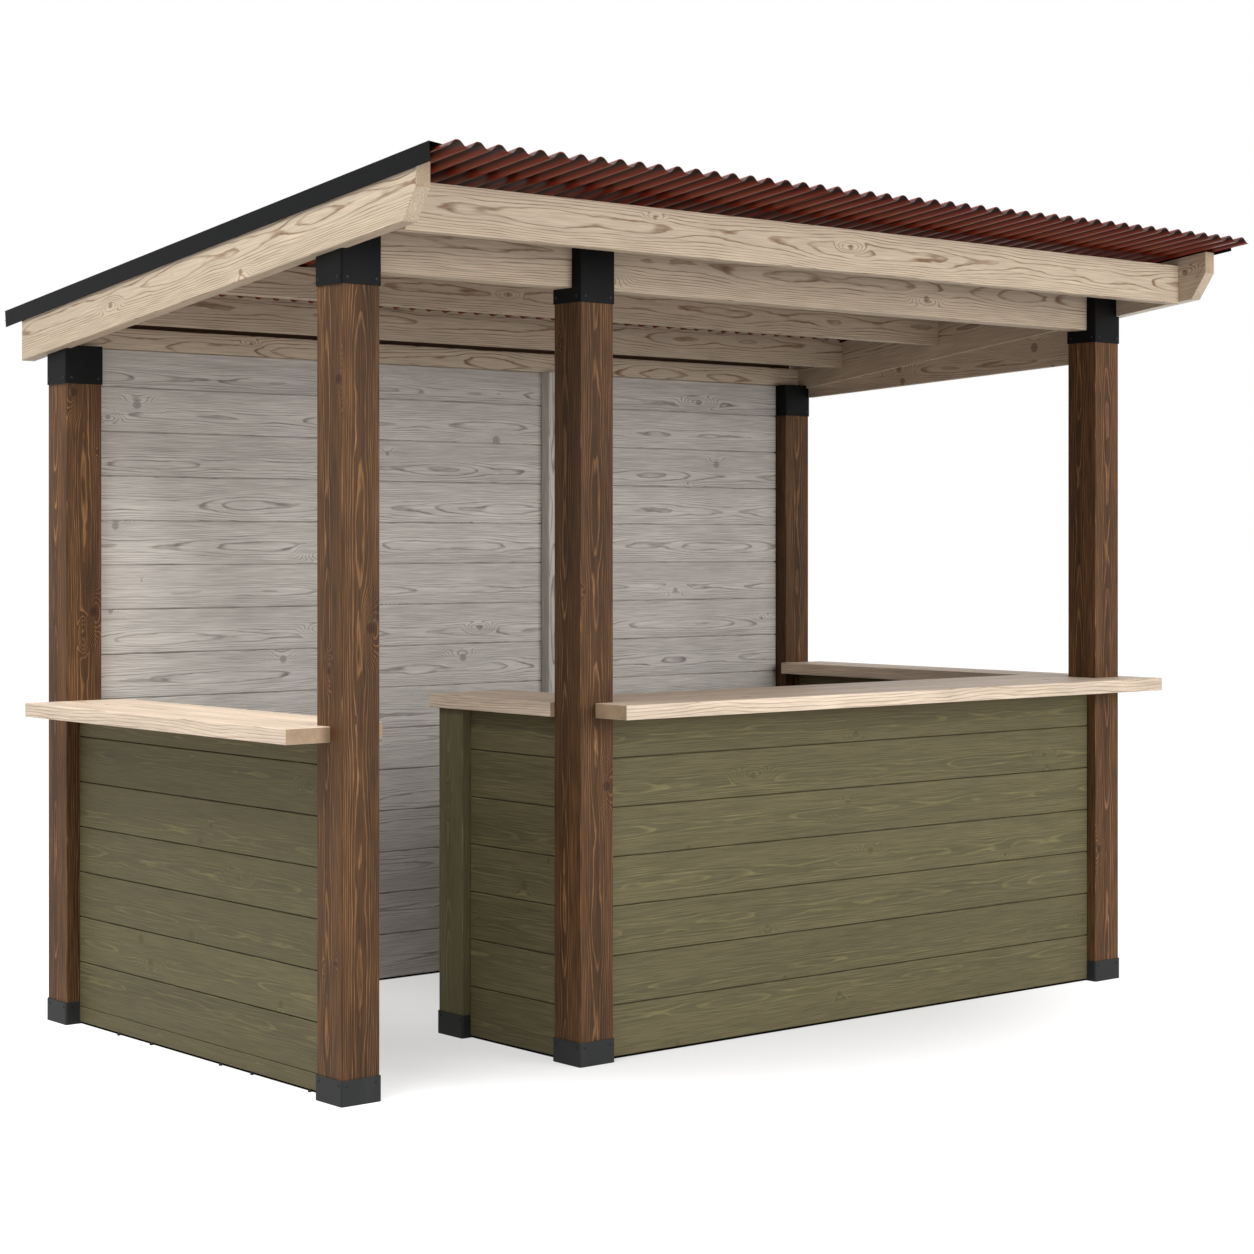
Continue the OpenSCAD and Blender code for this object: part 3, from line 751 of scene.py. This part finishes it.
# The first board is taller or lower than the pitch, so every other board starts that much off
shift = add("ShaderNodeMath", {0: given["First"], 1: given["Pitch"]}, operation="SUBTRACT")
above_first = add("FunctionNodeCompare", {2: index, 3: 0}, data_type="INT", operation="GREATER_THAN")
step_up = add("ShaderNodeMath", {0: above_first, 1: shift}, operation="MULTIPLY")
lift = add("ShaderNodeCombineXYZ", {2: step_up})
places = add("GeometryNodeSetPosition", {0: line, "Offset": lift})
first_share, last_share = [
    add("ShaderNodeMath", {0: given[tall], 1: given["Pitch"]}, operation="DIVIDE")
    for tall in ("First", "Last")]
top_index = add("ShaderNodeMath", {0: given["Count"], 1: 1.0}, operation="SUBTRACT")
is_top = add("ShaderNodeMath", {0: index, 1: top_index, 2: 0.5}, operation="COMPARE")
upper = add("ShaderNodeMix", {0: is_top, 2: 1.0, 3: last_share})
height = add("ShaderNodeMix", {0: above_first, 2: first_share, 3: upper})
stretch = add("ShaderNodeCombineXYZ", {0: 1.0, 1: 1.0, 2: height})
model = add("GeometryNodeObjectInfo", {"Object": given["Board"]})
boards = add(
    "GeometryNodeInstanceOnPoints",
    {"Points": places, "Instance": model.outputs["Geometry"], "Scale": stretch})
hair = add(
    "FunctionNodeRandomValue", {2: -BOARD_JITTER, 3: 0.0, "ID": index, "Seed": given["Seed"]},
    data_type="FLOAT")
push = add("ShaderNodeVectorMath", {0: given["Face"], "Scale": hair.outputs[1]}, operation="SCALE")
moved = add("GeometryNodeTranslateInstances", {0: boards, "Translation": push})
# Each board's own stretch of trunk, kept on the copies and then added to their grain
trunk = add(
    "FunctionNodeRandomValue",
    {0: (TRUNK_START, -BOARD_PITH_LOW, BOARD_PITH_LOW),
     1: (PIECE_STEP - BOARD_SPARE, BOARD_PITH_LOW, BOARD_PITH_HIGH), "ID": index,
     "Seed": given["Seed"]},
    data_type="FLOAT_VECTOR")
number = add("ShaderNodeMath", {0: index, 1: given["Number"]}, operation="ADD")
stretch_start = add("ShaderNodeMath", {0: number, 1: PIECE_STEP}, operation="MULTIPLY")
start = add("ShaderNodeCombineXYZ", {0: stretch_start})
own_trunk = add("ShaderNodeVectorMath", {0: trunk.outputs[0], 1: start}, operation="ADD")
marked = add(
    "GeometryNodeStoreNamedAttribute", {0: moved, "Name": "trunk", "Value": own_trunk},
    data_type="FLOAT_VECTOR", domain="INSTANCE")
solid_boards = add("GeometryNodeRealizeInstances", {0: marked})
blank_grain, board_trunk = [
    add("GeometryNodeInputNamedAttribute", {"Name": kept}, data_type="FLOAT_VECTOR")
    for kept in ("grain", "trunk")]
board_grain = add("ShaderNodeVectorMath", {0: blank_grain, 1: board_trunk}, operation="ADD")
grained = add(
    "GeometryNodeStoreNamedAttribute", {0: solid_boards, "Name": "grain", "Value": board_grain},
    data_type="FLOAT_VECTOR", domain="POINT")
finish_tree(stack, grained, given["Material"])
print("stacked boards:", len(stack.nodes), "nodes")

# %% [markdown]
# ### Panels and back wall
#
# The joints of the front, return and right counters line up at their corners. The left counter
# is lower and starts with a narrow strip at the ground, and the wall's boards are a little
# narrower. Heights were read off the photograph's joints and rounded. Boards stop short of the
# posts by the wall of the steel sleeves, so the lowest board passes between two feet.

# %% Panels and wall
SLEEVE = 4.2 * MM       # the wall of a steel sleeve and a little room
BOARDS_PER_SEED = 100   # numbers set aside for one panel's boards
COUNTER_PITCH = 142 * MM
COUNTER_FIRST_JOINT = 156 * MM
LEFT_PITCH = 139 * MM
LEFT_FIRST_JOINT = 54 * MM
WALL_PITCH = 140 * MM
WALL_FIRST_JOINT = 156 * MM


def board_panel(node, name, face, pitch, first_joint, material, slot, seed):
    """Stands boards in the place of a CAD slab; face is the direction that it shows."""
    low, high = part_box(node)
    face = Vector(face)
    thickness = abs((high - low).dot(face))
    front = high if sum(face) > 0 else low
    start, end = low.copy(), high.copy()
    for corner in (start, end):
        if face.x:
            corner.x = front.x
        else:
            corner.y = front.y
        corner.z = 0.0
    inset = (end - start).normalized() * SLEEVE
    start += inset
    end -= inset
    bottom, top = low.z, high.z
    whole = int((top - first_joint) / pitch)
    last = top - first_joint - whole * pitch
    blank = board_blank(name + "_blank", start, end, face, pitch, thickness)
    panel = grow(
        stack, name, board=blank, count=whole + 2, bottom=bottom, pitch=pitch,
        first=first_joint - bottom, last=last, face=face, number=BOARDS_PER_SEED * seed, seed=seed,
        material=material)
    bpy.data.objects.remove(blank)
    hand_over(panel, material, slot, node)
    return panel, whole + 2


for node, face, pitch, joint, material, slot, seed in (
    ("left_panel", LEFT, LEFT_PITCH, LEFT_FIRST_JOINT, olive_boards, "green_boards", 1),
    ("front_panel", FRONT, COUNTER_PITCH, COUNTER_FIRST_JOINT, olive_boards, "green_boards", 2),
    ("right_panel", ALONG_X, COUNTER_PITCH, COUNTER_FIRST_JOINT, olive_boards, "green_boards", 3),
    ("return_panel", LEFT, COUNTER_PITCH, COUNTER_FIRST_JOINT, olive_boards, "green_boards", 4),
    ("back_wall", FRONT, WALL_PITCH, WALL_FIRST_JOINT, grey_boards, "grey_boards", 5),
):
    panel, count = board_panel(node, node + "_boards", face, pitch, joint, material, slot, seed)
    print(node, count, "boards,", len(panel.data.polygons), "faces")

# %% [markdown]
# ## Corrugated roof
#
# A corrugated sheet follows one rule, so Geometry Nodes make it: a flat grid is lifted by a
# cosine of its place across the sheet, with broader crests, and then thickened. The width, slope
# and depth come from the CAD sheets, whose waves have straight facets, and this one is cut into
# finer steps. Where two sheets lap, the CAD model already lifts every second one by a little
# more than a sheet's thickness. The height in the wave is kept as an attribute, which tells the
# paint where the hollows are: grime on top, and painted shade in the recesses underneath.

# %% A tree for a corrugated sheet
WAVE_PITCH = 66 * MM
WAVE_STEPS = 24
SHEET_ROWS = 13
CREST_FLAT = 0.6        # 0 is a plain cosine, and 1 has the broadest crests and valleys
DENT = 0.8 * MM
DENT_SIZE = 450 * MM
SEAM = 0.05 * MM        # points closer than this are joined
SHEET_SHARP_DEG = 50

wave, given = new_tree("corrugated sheet", {
    "Width": "Float", "Length": "Float", "Waves": "Int", "Depth": "Float", "Thickness": "Float",
    "Seed": "Float", "Material": "Material"})
add = partial(add_node, wave)
columns = add("ShaderNodeMath", {0: given["Waves"], 1: WAVE_STEPS, 2: 1.0}, operation="MULTIPLY_ADD")
grid = add(
    "GeometryNodeMeshGrid",
    {"Size X": given["Width"], "Size Y": given["Length"], "Vertices X": columns,
     "Vertices Y": SHEET_ROWS})
spot = add("GeometryNodeInputPosition")
spot_parts = add("ShaderNodeSeparateXYZ", {0: spot})
share = add("ShaderNodeMath", {0: spot_parts.outputs["X"], 1: given["Width"]}, operation="DIVIDE")
from_edge = add("ShaderNodeMath", {0: share, 1: 0.5}, operation="ADD")
turns = add("ShaderNodeMath", {0: from_edge, 1: given["Waves"]}, operation="MULTIPLY")
angle = add("ShaderNodeMath", {0: turns, 1: 2 * math.pi}, operation="MULTIPLY")
cosine = add("ShaderNodeMath", {0: angle}, operation="COSINE")
plain_share = add("ShaderNodeMapRange", {0: cosine, 1: 1.0, 2: -1.0, 3: 0.0, 4: 1.0})
broad_share = add(
    "ShaderNodeMapRange", {0: plain_share, 1: 0.0, 2: 1.0, 3: 0.0, 4: 1.0},
    interpolation_type="SMOOTHSTEP")
crest_share = add("ShaderNodeMix", {0: CREST_FLAT, 2: plain_share, 3: broad_share})
noted = add(
    "GeometryNodeStoreNamedAttribute", {0: grid, "Name": "wave_height", "Value": crest_share},
    data_type="FLOAT", domain="POINT")
rounded = add("ShaderNodeMath", {0: crest_share, 1: given["Depth"]}, operation="MULTIPLY")
dent_place = add("ShaderNodeVectorMath", {0: spot, "Scale": 1 / DENT_SIZE}, operation="SCALE")
dents = add(
    "ShaderNodeTexNoise", {"Vector": dent_place, "W": given["Seed"], "Scale": 1.0, "Detail": 1.0},
    noise_dimensions="4D")
sag = add("ShaderNodeMapRange", {0: dents, 1: NOISE_LOW, 2: NOISE_HIGH, 3: -DENT, 4: 0.0})
tall = add("ShaderNodeMath", {0: rounded, 1: sag}, operation="ADD")
lifted = add("ShaderNodeCombineXYZ", {2: tall})
skin = add("GeometryNodeSetPosition", {0: noted, "Offset": lifted})
thick = add("ShaderNodeCombineXYZ", {2: given["Thickness"]})
upper_skin = add(
    "GeometryNodeExtrudeMesh", {0: skin, "Offset": thick, "Offset Scale": 1.0, "Individual": False},
    mode="FACES")
lower_skin = add("GeometryNodeFlipFaces", {0: skin})
both = add("GeometryNodeJoinGeometry", {0: upper_skin})
set_inputs(wave, both, {0: lower_skin})
closed = add("GeometryNodeMergeByDistance", {0: both, "Distance": SEAM})
smooth = add("GeometryNodeSetShadeSmooth", {0: closed, "Shade Smooth": True})
finish_tree(wave, smooth, given["Material"])
print("corrugated sheet:", len(wave.nodes), "nodes")

# %% Roof sheets
for seed, place in enumerate(("first", "second", "third", "fourth")):
    node = "roof_sheet_" + place
    low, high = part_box(node)
    back, front, thickness = sheet_edge(node)
    length = (front - back).length
    width = high.x - low.x
    depth = (high.z - front.z) / math.cos(slope) - thickness
    sheet = grow(
        wave, "corrugated_" + node, width=width, length=length, waves=round(width / WAVE_PITCH),
        depth=depth, thickness=thickness, seed=float(seed), material=red_paint)
    middle = (back + front) / 2 + Vector((width / 2, 0, 0))
    sheet.data.transform(Matrix.Translation(middle) @ Matrix.Rotation(-slope, 4, "X"))
    sheet.data.set_sharp_from_angle(angle=math.radians(SHEET_SHARP_DEG))
    hand_over(sheet, red_paint, "red_brown_sheet", node)
    print(sheet.name, round(width / WAVE_PITCH), "waves,", round(depth / MM, 1), "mm deep")

# %% [markdown]
# ### Wave fillers
#
# Under a corrugated sheet each wave leaves an open tunnel over the timber that it lies on. A
# brown foam strip with the same wave closes the tunnels over the back plate, and a wave-cut
# timber strip those over the rear purlin. One wave of a filler is a closed solid with a flat
# foot, repeated by a Geometry Nodes tree.

# %% Wave fillers
FILLER_STEPS = 12
FILLER_WIDTH = 12 * MM
FILLER_GAP = 0.4 * MM


def matt_strip(name, colour):
    """Closed-cell foam, or black strips of painted shade: matt, and too dark and narrow to show a
    pattern.
    """
    material, tree, shader = new_material(name)
    set_inputs(tree, shader, {
        "Base Color": linear(colour), "Roughness": 1.0, "Specular IOR Level": 0.0})
    return material


brown_foam = matt_strip("brown closing foam", "#6b5a48")

roof_left, roof_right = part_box("roof_sheet_first")[0].x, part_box("roof_sheet_fourth")[1].x
wave_count = round((roof_right - roof_left) / WAVE_PITCH)
wave_pitch = (roof_right - roof_left) / wave_count
wave_depth = (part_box("roof_sheet_first")[1].z - sheet_front.z) / math.cos(slope) - sheet_thickness

repeat, given = new_tree("repeat along X", {
    "Model": "Object", "Count": "Int", "Pitch": "Float", "Material": "Material"})
add = partial(add_node, repeat)
sideways = add("ShaderNodeCombineXYZ", {0: given["Pitch"]})
row = add("GeometryNodeMeshLine", {"Count": given["Count"], "Offset": sideways})
unit = add("GeometryNodeObjectInfo", {"Object": given["Model"]})
units = add("GeometryNodeInstanceOnPoints", {"Points": row, "Instance": unit.outputs["Geometry"]})
finish_tree(repeat, units, given["Material"])


def filler(node, name, front, material, slot):
    """Closes the waves over a beam; front is the place of the filler's front face."""
    low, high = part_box(node)
    first = math.ceil((low.x - roof_left) / wave_pitch)
    last = math.floor((high.x - roof_left) / wave_pitch)
    rings = []
    for y in (front, front + FILLER_WIDTH):
        floor_z = sheet_back.z - (y - sheet_back.y) * math.tan(slope)
        ring = []
        for i in range(FILLER_STEPS + 1):
            share = (1 - math.cos(2 * math.pi * i / FILLER_STEPS)) / 2
            share += CREST_FLAT * (share * share * (3 - 2 * share) - share)
            x = roof_left + (first + i / FILLER_STEPS) * wave_pitch
            ring.append((x, y, floor_z + share * wave_depth / math.cos(slope) - FILLER_GAP))
        foot_z = high.z - FILLER_GAP
        ring += [(ring[-1][0], y, foot_z), (ring[0][0], y, foot_z)]
        rings.append(ring)
    model = prism(name + "_wave", rings)
    strip = grow(repeat, name, model=model, count=last - first, pitch=wave_pitch, material=material)
    bpy.data.objects.remove(model)
    set_grain(strip, ALONG_X, FRONT, BEAM_PITH)
    hand_over(strip, material, slot)
    print(name, last - first, "waves, top of", node, "at", round(high.z / MM), "mm")


plate_back, purlin_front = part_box("back_plate")[1].y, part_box("purlin_rear")[0].y
filler("back_plate", "plate_filler", plate_back - FILLER_WIDTH, brown_foam, "black_steel")
filler("purlin_rear", "purlin_filler", purlin_front, pale_beams, "pale_pine")

# %% [markdown]
# ## Steel feet, brackets and trims
#
# The CAD steel has its true form, with round upright edges. Powder coat pools over cut edges
# and rounds them slightly, so feet and brackets are eased copies again, with a smaller radius.
# The verge trims are thin folded sheet and keep their CAD meshes with a new material.

# %% Steel
STEEL_EDGE = 0.9 * MM
steel_nodes = ["foot_" + p for p in posts + ["return"]] + ["bracket_" + p for p in posts]
for node in steel_nodes:
    steel = eased_copy(node, "coated_" + node, STEEL_EDGE, segments=2)
    # Feet get the lighter copy of the coat, painted light from the floor
    hand_over(steel, floor_lit_coat if node.startswith("foot") else black_coat, "black_steel", node)
for node in ("verge_trim_left", "verge_trim_right"):
    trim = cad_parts[node]
    trim.data.materials.clear()
    trim.data.materials.append(black_coat)
print("steel pieces:", len(steel_nodes) + 2)

# %% [markdown]
# ## Screws and packers
#
# Each sleeve is held by two pan-head screws a side, low on the brackets and high on the feet.
# From above, the sheets are held by hexagon screws with sealing washers on every third wave.
# Small dark packers peep out in front of the left counter's foot. One tree serves all: it puts a
# copy of a small model on every point of a mesh, and turns it to the direction that the point
# keeps as an attribute. A head or a packer is a turned outline of few faces.

# %% A tree that sets a model on points
fix, given = new_tree("set on points", {"Places": "Object", "Model": "Object", "Material": "Material"})
add = partial(add_node, fix)
spots = add("GeometryNodeObjectInfo", {"Object": given["Places"]})
head = add("GeometryNodeObjectInfo", {"Object": given["Model"]})
outward = add("GeometryNodeInputNamedAttribute", {"Name": "outward"}, data_type="FLOAT_VECTOR")
turned = add("FunctionNodeAlignRotationToVector", {"Vector": outward}, axis="Z")
heads = add(
    "GeometryNodeInstanceOnPoints",
    {"Points": spots.outputs["Geometry"], "Instance": head.outputs["Geometry"], "Rotation": turned})
finish_tree(fix, heads, given["Material"])


def lathe(name, outline, sides):
    """A small turned model: the outline's points are radius and height, from the rim to the middle."""
    shape = bmesh.new()
    rings = []
    turns = [2 * math.pi * i / sides for i in range(sides)]
    for radius, height in outline:
        ring = [(radius * math.cos(a), radius * math.sin(a), height) for a in turns]
        rings.append([shape.verts.new(p) for p in (ring if radius else [(0, 0, height)])])
    for inner, outer in zip(rings[1:], rings):
        for i in range(sides):
            j = (i + 1) % sides
            corners = [outer[i], outer[j]] + ([inner[0]] if len(inner) == 1 else [inner[j], inner[i]])
            shape.faces.new(corners)
    shape.faces.new(list(reversed(rings[0])))
    return object_from(shape, name)


def set_on_points(name, spots, model, material):
    """Puts a model on each spot, a pair of a point and the direction out of the surface there."""
    mesh = bpy.data.meshes.new(name + "_places")
    mesh.from_pydata([point for point, out in spots], [], [])
    flat = [x for point, out in spots for x in out]
    mesh.attributes.new("outward", "FLOAT_VECTOR", "POINT").data.foreach_set("vector", flat)
    places = bpy.data.objects.new(name + "_places", mesh)
    scene.collection.objects.link(places)
    made = grow(fix, name, places=places, model=model, material=material)
    bpy.data.objects.remove(places)
    bpy.data.objects.remove(model)
    return made


print("set on points:", len(fix.nodes), "nodes")

# %% Screws in the sleeves
SCREW_IN = 18 * MM      # from a sleeve's upright edges
SCREW_BRACKET = 18 * MM  # above a bracket's lower edge
SCREW_FOOT = 14 * MM    # below a foot's upper edge
PAN_SIDES = 12
PAN_HEAD = [(r * MM, h * MM) for r, h in (
    (4.6, -0.4), (4.6, 0.5), (4.1, 1.5), (2.9, 2.1), (1.7, 2.2), (1.5, 1.0), (0, 0.8))]


def sleeve_spots(node, height):
    """Two spots on each of a sleeve's four sides, at a height."""
    low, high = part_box(node)
    spots = []
    for x in (low.x + SCREW_IN, high.x - SCREW_IN):
        spots += [((x, low.y, height), (0, -1, 0)), ((x, high.y, height), (0, 1, 0))]
    for y in (low.y + SCREW_IN, high.y - SCREW_IN):
        spots += [((low.x, y, height), (-1, 0, 0)), ((high.x, y, height), (1, 0, 0))]
    return spots


spots = []
for node in steel_nodes:
    low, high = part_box(node)
    is_foot = node.startswith("foot")
    spots += sleeve_spots(node, high.z - SCREW_FOOT if is_foot else low.z + SCREW_BRACKET)
screws = set_on_points("sleeve_screws", spots, lathe("pan_head", PAN_HEAD, PAN_SIDES), screw_black)
hand_over(screws, screw_black, "black_steel")
print("sleeve screws:", len(spots))

# %% Screws in the roof
ROOF_SCREW_WAVES = 3
HEX_HEAD = [(r * MM, h * MM) for r, h in (
    (8, -0.5), (8, 0.8), (7.2, 1.4), (4.7, 1.5), (4.6, 5.6), (4.0, 6.2), (0, 6.2))]
up_roof = Vector((0, math.sin(slope), math.cos(slope)))
top_of = wave_depth + sheet_thickness
spots = []
for node in ("front_fascia", "purlin_middle", "purlin_rear", "back_plate"):
    low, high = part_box(node)
    run = ((low.y + high.y) / 2 - sheet_back.y) / down_slope.y
    for number in range(1, wave_count, ROOF_SCREW_WAVES):
        x = roof_left + (number + 0.5) * wave_pitch
        foot = Vector((x, sheet_back.y, sheet_back.z)) + down_slope * run
        spots.append((foot + up_roof * top_of, up_roof))
roof_screws = set_on_points("roof_screws", spots, lathe("hex_head", HEX_HEAD, 6), red_paint)
hand_over(roof_screws, red_paint, "red_brown_sheet")
print("roof screws:", len(spots))

# %% Packers under the left counter
PACKER_SIDE = 6 * MM
PACKER_OUT = 1.5 * MM   # from the panel's face to a packer's middle
PACKER_EASE = (1 * MM, 0.5 * MM)
PACKER_SHARES = (0.18, 0.32, 0.60, 0.72, 0.93)
low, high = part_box("left_panel")
spots = [((low.x - PACKER_OUT, high.y + (low.y - high.y) * s, 0), UP) for s in PACKER_SHARES]
outline = [
    (PACKER_SIDE, 0), (PACKER_SIDE, low.z - PACKER_EASE[1]), (PACKER_SIDE - PACKER_EASE[0], low.z),
    (0, low.z)]
packers = set_on_points("left_packers", spots, lathe("packer", outline, 4), screw_black)
hand_over(packers, screw_black, "black_steel")
print("packers:", len(spots))

# %% [markdown]
# ### Black strips of painted shade
#
# Under the counters and the wall is a narrow gap at the ground, which lies in shadow. It is
# filled with black strips, set back from the faces, that read as a thin dark line at the ground:
# painted shade, a dark thing where there is only shadow. Each strip is one eased block, sized
# from the panel that it carries.

# %% Strips of painted shade under the panels
STRIP_BACK = 5 * MM
STRIP_EDGE = 1 * MM
STRIP_END = SLEEVE + 1 * MM
# Black strips fill the shadowed gap under the panels: painted shade
shadow_gap_black = matt_strip("black plastic strip", "#14100d")
panels = ("left_panel", "front_panel", "return_panel", "right_panel", "back_wall")
for node in panels:
    low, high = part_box(node)
    runs_along_x = high.x - low.x > high.y - low.y
    inset = Vector((STRIP_END, STRIP_BACK, 0) if runs_along_x else (STRIP_BACK, STRIP_END, 0))
    base, top = low + inset, high - inset
    base.z, top.z = 0.0, low.z
    shape = bmesh.new()
    bmesh.ops.create_cube(shape, size=1.0)
    for v in shape.verts:
        v.co = Vector([base[i] if v.co[i] < 0 else top[i] for i in range(3)])
    bmesh.ops.bevel(
        shape, geom=shape.edges[:], offset=STRIP_EDGE, segments=2, profile=0.5, affect="EDGES")
    hand_over(object_from(shape, node + "_strip"), shadow_gap_black, "black_steel")
print("shade strips under", len(panels), "panels")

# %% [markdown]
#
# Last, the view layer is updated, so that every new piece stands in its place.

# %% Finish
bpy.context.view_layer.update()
